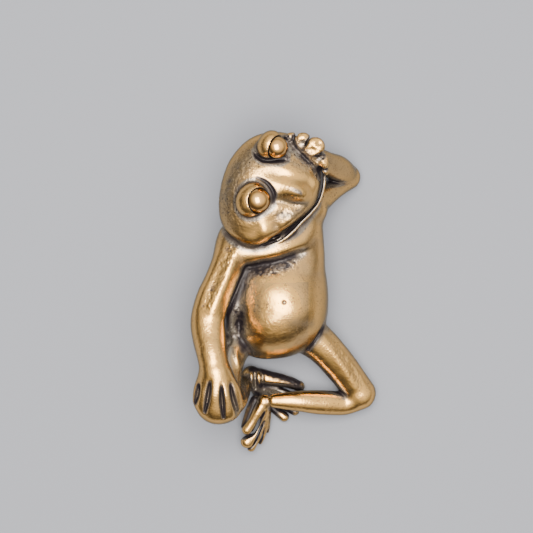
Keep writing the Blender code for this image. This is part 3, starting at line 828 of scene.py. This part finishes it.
def skinned(name, field, whole, shelter):
    """The section's mesh, with cast texture in its surface and what its patina and painted shade depend on in
    attributes.
    """
    points, quads = largest_body(*surface(field))
    points = settled(points, quads, field)
    normals = normals_of(points, quads)
    rough = painted(points, ROUGH)
    grain = lumps(points, 0.45, 1) * 0.6 + lumps(points, 0.22, 2) * 0.4
    swell = lumps(points, 2.6, 3) * 0.03 + lumps(points, 1.1, 4) * 0.014 + lumps(points, 0.5, 5) * 0.004
    open_air = closeness(whole, points, normals, SEAM_REACH) < 0.9
    points = points + normals * ((ROUGH_DEPTH * rough * grain + swell) * open_air)[:, None]
    measures = {
        "crease": closeness(whole, points, normals, CREASE_REACH),
        "hollow": closeness(whole, points, normals, HOLLOW_REACH),
        "shelter": shelter(points + normals * SHELTER_REACH),
        "up": normals[:, 2],
        "pits": np.clip(-grain, 0, 1) * rough,
        "dull": painted(points, DULL_AND_SHADED),
        "black": painted(points, BLACK_PATINA_AND_SHADE),
    }
    return make_mesh(name, points, quads, measures)


def bore_for(dowel):
    """The drilled hole round a dowel, from the dowel's own mesh."""
    corners = np.array([v.co for v in dowel.data.vertices]) / MM
    middle = corners.mean(0)
    axis = np.linalg.svd(corners - middle, full_matrices=False)[2][0]
    along = (corners - middle) @ axis
    across = np.linalg.norm(corners - middle - np.outer(along, axis), axis=1)
    reach, radius = along.max() + 0.1, across.max() + 0.1
    return limb([(*(middle - axis * reach), radius), (*(middle + axis * reach), radius)], 1)


# ---- materials


def set_range(map_range, *numbers):
    for name, number in zip(("From Min", "From Max", "To Min", "To Max"), numbers):
        map_range.inputs[name].default_value = number


class Shader:
    """Short names for making the nodes of one material."""

    def __init__(self, name):
        self.material = bpy.data.materials.new(name)
        self.material.use_nodes = True
        self.tree = self.material.node_tree
        self.surface = self.tree.nodes["Principled BSDF"]
        self.place = self.node("TexCoord").outputs["Object"]

    def node(self, kind, **settings):
        made = self.tree.nodes.new("ShaderNode" + kind)
        for name, value in settings.items():
            setattr(made, name, value)
        return made

    def link(self, value, socket):
        """Feeds a socket from another node's output, or with a constant."""
        if isinstance(value, bpy.types.NodeSocket):
            self.tree.links.new(value, socket)
        else:
            socket.default_value = value

    def set(self, name, value):
        """An input of the surface's shader."""
        self.link(value, self.surface.inputs[name])

    def attribute(self, name):
        return self.node("Attribute", attribute_name=name).outputs["Fac"]

    def noise(self, size, detail=3.0, stretch=(1, 1, 1), roughness=0.5):
        """Noise from 0 to 1 with lumps about this size in mm."""
        mapping = self.node("Mapping")
        self.link(self.place, mapping.inputs["Vector"])
        mapping.inputs["Scale"].default_value = [s / (size * MM) for s in stretch]
        noise = self.node("TexNoise")
        self.link(mapping.outputs["Vector"], noise.inputs["Vector"])
        noise.inputs["Scale"].default_value = 1.0
        noise.inputs["Detail"].default_value = detail
        noise.inputs["Roughness"].default_value = roughness
        return noise.outputs["Fac"]

    def math(self, operation, *values):
        made = self.node("Math", operation=operation)
        for value, socket in zip(values, made.inputs):
            self.link(value, socket)
        return made.outputs["Value"]

    def add(self, first, *others):
        for other in others:
            first = self.math("ADD", first, other)
        return first

    def times(self, first, *others):
        for other in others:
            first = self.math("MULTIPLY", first, other)
        return first

    def largest(self, first, *others):
        for other in others:
            first = self.math("MAXIMUM", first, other)
        return first

    def between(self, value, low, high, to_low=0.0, to_high=1.0):
        """The value from low to high, eased onto another range."""
        made = self.node("MapRange", interpolation_type="SMOOTHSTEP")
        self.link(value, made.inputs["Value"])
        set_range(made, low, high, to_low, to_high)
        return made.outputs["Result"]

    def mix(self, share, one, two):
        """A colour from one to two."""
        made = self.node("Mix", data_type="RGBA")
        self.link(share, made.inputs["Factor"])
        for value, socket in ((one, made.inputs[6]), (two, made.inputs[7])):
            self.link(value if isinstance(value, bpy.types.NodeSocket) else (*value, 1.0), socket)
        return made.outputs[2]

    def bump(self, height, distance, strength=1.0):
        made = self.node("Bump")
        self.link(height, made.inputs["Height"])
        made.inputs["Distance"].default_value = distance * MM
        made.inputs["Strength"].default_value = strength
        self.set("Normal", made.outputs["Normal"])


WORN_AND_LIT_GOLD = (1.0, 0.52, 0.12)  # bare, worn metal on top, and painted light: brighter and more golden where the surface faces up
RUBBED = (1.0, 0.56, 0.17)  # bare metal in patches
BRASS = (0.86, 0.50, 0.16)  # the metal about them
EYE_BRASS = (0.90, 0.46, 0.14)
OLIVE_SHADE_AND_FILM = (0.17, 0.148, 0.11)  # painted shade on flanks and in sheltered places, and a film of patina in the dull strokes
HOLLOW_SHADE = (0.30, 0.25, 0.19)  # painted shade in broad hollows
# patina in creases and pits, and painted shade on the undersides
BROWN_PATINA_AND_SHADE = (0.075, 0.055, 0.045)
# thick patina, and painted shade where the black strokes lie
DARK_PATINA_AND_SHADE = (0.018, 0.013, 0.014)
EDGE_TINT = (0.50, 0.47, 0.40)  # the metal's tint at a grazing angle
WIRE_DARK = (0.50, 0.34, 0.15)
WIRE_LIGHT = (0.70, 0.48, 0.22)


def antique_brass():
    """Cast brass: bright where it was rubbed, brighter and more golden on top as painted light, with painted
    shade on its flanks, undersides and sheltered places, and brown to black patina in creases and pits.
    """
    shader = Shader("antique_brass")
    cloud = shader.noise(5.0)
    blotch = shader.noise(1.3, detail=4.0)
    speck = shader.noise(0.32, detail=2.0)
    fine = shader.noise(0.09, detail=2.0)
    hollow, shelter, up, dull = (shader.attribute(name) for name in ("hollow", "shelter", "up", "dull"))

    # how much patina was left: in creases, hollows and pits, unevenly, and along the black strokes, which
    # also paint shade
    left = shader.add(
        shader.attribute("crease"),
        shader.times(hollow, 0.5),
        shader.between(blotch, 0.25, 0.75, -0.12, 0.12),
        shader.times(shader.attribute("pits"), 0.9),
        shader.attribute("black"),
    )
    dots = shader.times(shader.between(speck, 0.58, 0.67), shader.add(shader.between(cloud, 0.4, 0.62), dull))
    brown = shader.between(left, 0.12, 0.5)
    black = shader.largest(shader.between(left, 0.42, 0.75), shader.times(dots, 0.7))

    # painted shade: dimmer on steep flanks, in sheltered places and on the flanks near them; and the dull
    # strokes, partly a film of patina and partly painted shade
    near = shader.between(shelter, 0.13, 0.3, 0.0, 0.9)
    dimming = shader.largest(
        shader.between(up, 0.15, 0.76, 0.94, 0.0),
        shader.between(shelter, 0.2, 0.42, 0.0, 0.9),
        shader.times(near, shader.between(up, 0.45, 0.93, 1.0, 0.0)),
        shader.times(dull, shader.between(blotch, 0.2, 0.8, 0.75, 1.0)),
    )

    colour = shader.mix(shader.between(blotch, 0.3, 0.7), BRASS, RUBBED)
    # painted light: brighter, more golden metal where the surface faces up, besides the wear on top
    colour = shader.mix(shader.between(up, 0.8, 0.98, 0.0, 0.75), colour, WORN_AND_LIT_GOLD)
    # painted shade on flanks and in sheltered places, and the dull strokes' film of patina
    colour = shader.mix(dimming, colour, OLIVE_SHADE_AND_FILM)
    # painted shade in broad hollows
    colour = shader.mix(shader.between(hollow, 0.04, 0.32, 0.0, 0.9), colour, HOLLOW_SHADE)
    colour = shader.mix(shader.times(brown, 0.85), colour, BROWN_PATINA_AND_SHADE)
    # painted shade on the undersides
    colour = shader.mix(shader.between(up, -0.25, 0.25, 0.8, 0.0), colour, BROWN_PATINA_AND_SHADE)
    # thick patina, and the painted shade of the black strokes
    colour = shader.mix(black, colour, DARK_PATINA_AND_SHADE)
    shader.set("Base Color", colour)
    shader.set("Specular Tint", (*EDGE_TINT, 1.0))

    metal = shader.times(
        shader.between(brown, 0.0, 1.0, 1.0, 0.75),
        shader.between(black, 0.0, 1.0, 1.0, 0.4),
        shader.between(dimming, 0.2, 0.9, 1.0, 0.84),
    )
    shader.set("Metallic", metal)
    sheen = shader.between(blotch, 0.2, 0.8, 0.12, 0.24)
    shader.set("Roughness", shader.add(sheen, shader.times(brown, 0.12), shader.times(dull, 0.06)))
    shader.bump(shader.add(shader.times(speck, 0.6), shader.times(fine, 0.4)), 0.06, 0.65)
    return shader.material


def polished_brass():
    """The eyeballs' metal, with patina at their rings, and painted shade in the hollows by them and on their
    steep flanks.
    """
    shader = Shader("polished_brass")
    blotch = shader.noise(1.6)
    fine = shader.noise(0.12, detail=2.0)
    colour = shader.mix(shader.between(blotch, 0.3, 0.7), EYE_BRASS, RUBBED)
    # painted shade in the hollows by the eyeball
    colour = shader.mix(shader.between(shader.attribute("hollow"), 0.04, 0.32, 0.0, 0.9), colour, HOLLOW_SHADE)
    colour = shader.mix(shader.between(shader.attribute("crease"), 0.05, 0.4), colour, DARK_PATINA_AND_SHADE)
    # painted shade on the eyeballs' steep flanks
    colour = shader.mix(shader.between(shader.attribute("up"), 0.2, 0.82, 0.9, 0.0), colour, OLIVE_SHADE_AND_FILM)
    shader.set("Base Color", colour)
    shader.set("Specular Tint", (*EDGE_TINT, 1.0))
    shader.set("Metallic", 1.0)
    shader.set("Roughness", shader.between(blotch, 0.2, 0.8, 0.14, 0.22))
    shader.bump(fine, 0.02, 0.25)
    return shader.material


def drawn_brass():
    """Drawn wire: fine lines along Z, with a dull film."""
    shader = Shader("drawn_brass")
    lines = shader.noise(0.2, stretch=(1, 1, 0.15))
    dimming = shader.noise(1.5, detail=2.0)
    shader.set("Base Color", shader.mix(shader.between(dimming, 0.3, 0.7), WIRE_DARK, WIRE_LIGHT))
    shader.set("Metallic", 1.0)
    shader.set("Roughness", shader.between(lines, 0.3, 0.7, 0.28, 0.45))
    shader.bump(lines, 0.02, 0.4)
    return shader.material


# ---- the frog


def empty_field(box):
    """A field over a box of the frame, with a margin round it."""
    low, high = box
    return Field(np.array(low) / MM - MARGIN, np.array(high) / MM + MARGIN)


def build_frog():
    """One skin over all the sections, then each section's share of it, the eyeballs and the wire."""
    fields = {}
    for sculpt in SECTIONS:
        name = sculpt.__name__
        fields[name] = empty_field(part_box(name))
        sculpt(fields[name])
    whole = empty_field(cad_box)
    for field in fields.values():
        mine, theirs = whole.shared(field)
        whole.values[mine] = smooth_min(whole.values[mine], field.values[theirs], FILLET)
    sculpt_joins(whole)
    for name in EYEBALLS:
        whole.add(eyeball(name))
    # flat where it stands on the ground
    _, (_, _, height) = whole.window((-99, -99, -99), (99, 99, 99))
    whole.values = np.maximum(whole.values, -height)
    shelter = shelter_field(whole)

    dowels = [node for name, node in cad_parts.items() if name.endswith("_dowel")]
    bores = [bore_for(dowel) for dowel in dowels]
    metal = antique_brass()
    for name, field in fields.items():
        # its share is where its own field is lower than its neighbours', and a little more under the skin
        rival = np.full_like(field.values, BAND)
        for other_name, other in fields.items():
            if other_name != name:
                mine, theirs = field.shared(other)
                rival[mine] = np.minimum(rival[mine], other.values[theirs])
        part = empty_field(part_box(name))
        mine, theirs = part.shared(whole)
        part.values[mine] = whole.values[theirs]
        beyond = (field.values - rival) / 2
        part.values = np.maximum(part.values + SINK * np.maximum(beyond, 0), beyond - OVERLAP / 2)
        if name == "head":
            for eye in EYEBALLS:
                part.carve(eyeball(eye, EYE_GAP))
        for bore in bores:
            part.carve(bore)
        piece = skinned("cast_" + name, part, whole, shelter)
        finish_piece(piece, name, metal)

    polish = polished_brass()
    for name in EYEBALLS:
        field = empty_field(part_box(name))
        field.add(eyeball(name))
        piece = skinned("polished_" + name, field, whole, shelter)
        finish_piece(piece, name, polish)

    wire = drawn_brass()
    for dowel in dowels:
        dowel.data.materials.clear()
        dowel.data.materials.append(wire)


def finish_piece(piece, node, material):
    """Puts a piece in its CAD node's place."""
    piece.data.materials.append(material)
    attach(piece, "root")
    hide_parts(node)


# ---- the studio


FLOOR_GREY = (0.27, 0.27, 0.285)
SKY_WHITE = (0.96, 0.97, 1.0)
BRIGHT_SIDE = (0.20, 0.25, 0.95)  # where the room is brightest
CAMERA_OFFSET = (-0.00306, 0.00475)  # from the middle of the part
CAMERA_HEIGHT = 0.32
LENS = 124.6


def make_floor():
    """A plain floor just under the part."""
    mesh = bpy.data.meshes.new("floor")
    mesh.from_pydata([(-1, -1, 0), (1, -1, 0), (1, 1, 0), (-1, 1, 0)], [], [(0, 1, 2, 3)])
    floor = new_object("floor", mesh)
    floor.location.z = -0.02 * MM
    shader = Shader("pale_floor")
    shader.set("Base Color", (*FLOOR_GREY, 1.0))
    shader.set("Roughness", 0.9)
    mesh.materials.append(shader.material)


def area_light(name, place, aim, size, power):
    light = bpy.data.lights.new(name, "AREA")
    light.shape = "RECTANGLE"
    light.size, light.size_y = size
    light.energy = power
    obj = new_object(name, light)
    obj.location = place
    obj.rotation_euler = (aim - place).to_track_quat("-Z", "Y").to_euler()


def make_studio():
    """A room that fades from a bright side overhead, one softbox, and a camera straight above."""
    low, high = cad_box
    middle = (low + high) / 2
    world = bpy.data.worlds.new("studio")
    bpy.context.scene.world = world
    world.use_nodes = True
    tree = world.node_tree
    background = tree.nodes["Background"]
    background.inputs["Color"].default_value = (*SKY_WHITE, 1.0)
    direction = tree.nodes.new("ShaderNodeTexCoord")
    facing = tree.nodes.new("ShaderNodeVectorMath")
    facing.operation = "DOT_PRODUCT"
    facing.inputs[1].default_value = BRIGHT_SIDE
    fade = tree.nodes.new("ShaderNodeMapRange")
    fade.interpolation_type = "SMOOTHSTEP"
    set_range(fade, 0.05, 1.0, 0.1, 1.6)
    tree.links.new(direction.outputs["Generated"], facing.inputs[0])
    tree.links.new(facing.outputs["Value"], fade.inputs["Value"])
    tree.links.new(fade.outputs["Result"], background.inputs["Strength"])
    area_light("softbox", place=Vector((-0.003, 0.012, 0.345)), aim=middle, size=(0.20, 0.30), power=2.7)

    camera_data = bpy.data.cameras.new("camera")
    camera_data.sensor_width = 36
    camera_data.lens = LENS
    camera_data.clip_start = 0.01
    camera = new_object("camera", camera_data)
    camera.location = (middle.x + CAMERA_OFFSET[0], middle.y + CAMERA_OFFSET[1], CAMERA_HEIGHT)
    bpy.context.scene.camera = camera


build_frog()
make_floor()
make_studio()
